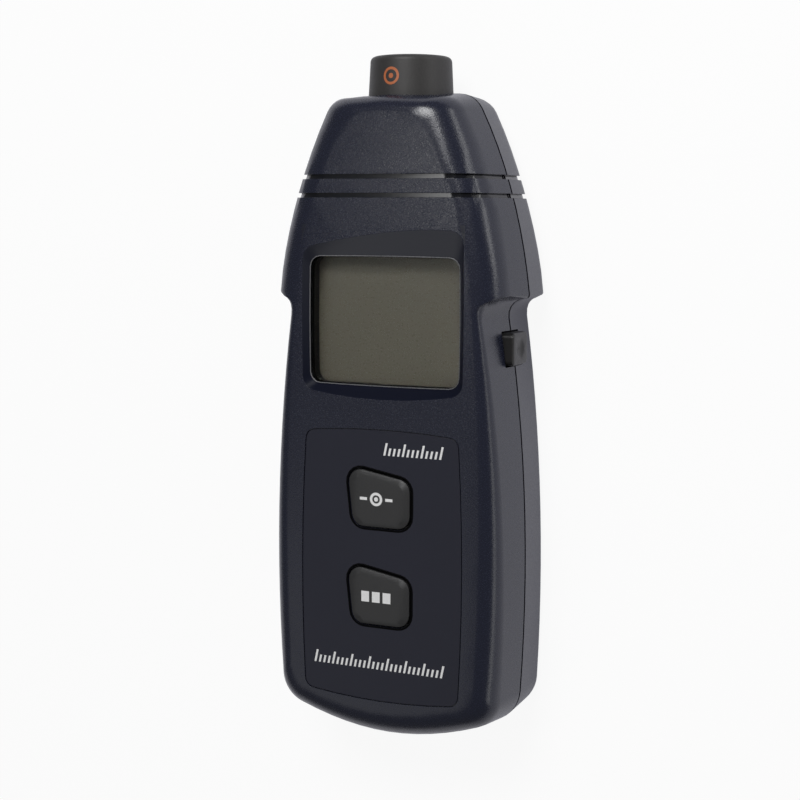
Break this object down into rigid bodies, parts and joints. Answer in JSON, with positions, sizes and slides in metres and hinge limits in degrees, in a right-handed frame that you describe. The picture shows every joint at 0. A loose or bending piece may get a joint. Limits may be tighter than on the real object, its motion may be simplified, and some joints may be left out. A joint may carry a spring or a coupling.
{
  "type": "laser tachometer",
  "caption": "Handheld optical speed meter with a two-part moulded housing, a display head, a notched grip, front keys, a side trigger button and a round optical nose.",
  "frame": {"origin": "middle of the whole length and width, on the flat back that it lies on", "axes": "+Y along the instrument towards the nose, +Z out of the front face, +X to the side with the trigger button"},
  "size_m": [0.072, 0.1914, 0.0373],
  "materials": {
    "front_plastic": "textured dark navy grey",
    "rear_plastic": "smooth dark navy grey",
    "panel_sheet": "smooth dark navy grey",
    "clear_window": "clear",
    "display_cell": "blank olive grey display",
    "black_plastic": "black",
    "contact_rubber": "soft",
    "circuit_board": "green solder mask",
    "bare_metal": "plated",
    "capacitor_sleeve": "sleeved",
    "nose_plastic": "dark warm grey",
    "lens": "red tinted",
    "laser_brass": "turned",
    "dark_gloss": "dark epoxy",
    "ribbon": "amber film",
    "battery_case": "plain jacket",
    "lead_rubber": "insulated wire",
    "key_plastic": "dark grey",
    "button_plastic": "dark grey"
  },
  "bodies": {
    "housing": {"front_shell": "front_plastic", "rear_shell": "rear_plastic", "face_plate": "panel_sheet", "display_window": "clear_window", "lcd_glass": "display_cell", "lcd_frame": "black_plastic", "zebra_strips": "contact_rubber", "main_board": "circuit_board", "controller_chip": "black_plastic", "crystal": "bare_metal", "capacitors": "capacitor_sleeve", "read_switch": "black_plastic", "mem_switch": "black_plastic", "side_switch": "black_plastic", "nose_tube": "nose_plastic", "front_lens": "lens", "lens_ring": "black_plastic", "optics_holder": "black_plastic", "laser_module": "laser_brass", "photodiode": "dark_gloss", "sensor_ribbon": "ribbon", "battery": "battery_case", "battery_snap": "black_plastic", "battery_leads": "lead_rubber", "case_screws": "bare_metal", "board_screws": "bare_metal"},
    "upper_key": {"read_key": "key_plastic", "read_plunger": "black_plastic"},
    "lower_key": {"mem_key": "key_plastic", "mem_plunger": "black_plastic"},
    "trigger": {"side_button": "button_plastic", "side_plunger": "black_plastic"},
    "door": {"battery_door": "rear_plastic"}
  },
  "joints": [
    {"name": "read_press", "type": "slide", "parent": "housing", "child": "upper_key", "axis": [0, 0, -1], "range_m": [0, 0.0006], "stiffness_N_per_m": 1500},
    {"name": "mem_press", "type": "slide", "parent": "housing", "child": "lower_key", "axis": [0, 0, -1], "range_m": [0, 0.0006], "stiffness_N_per_m": 1500},
    {"name": "trigger_press", "type": "slide", "parent": "housing", "child": "trigger", "axis": [-1, 0, 0], "range_m": [0, 0.0008], "stiffness_N_per_m": 1500},
    {"name": "door_slide", "type": "slide", "parent": "housing", "child": "door", "axis": [0, -1, 0], "range_m": [0, 0.07]}
  ]
}
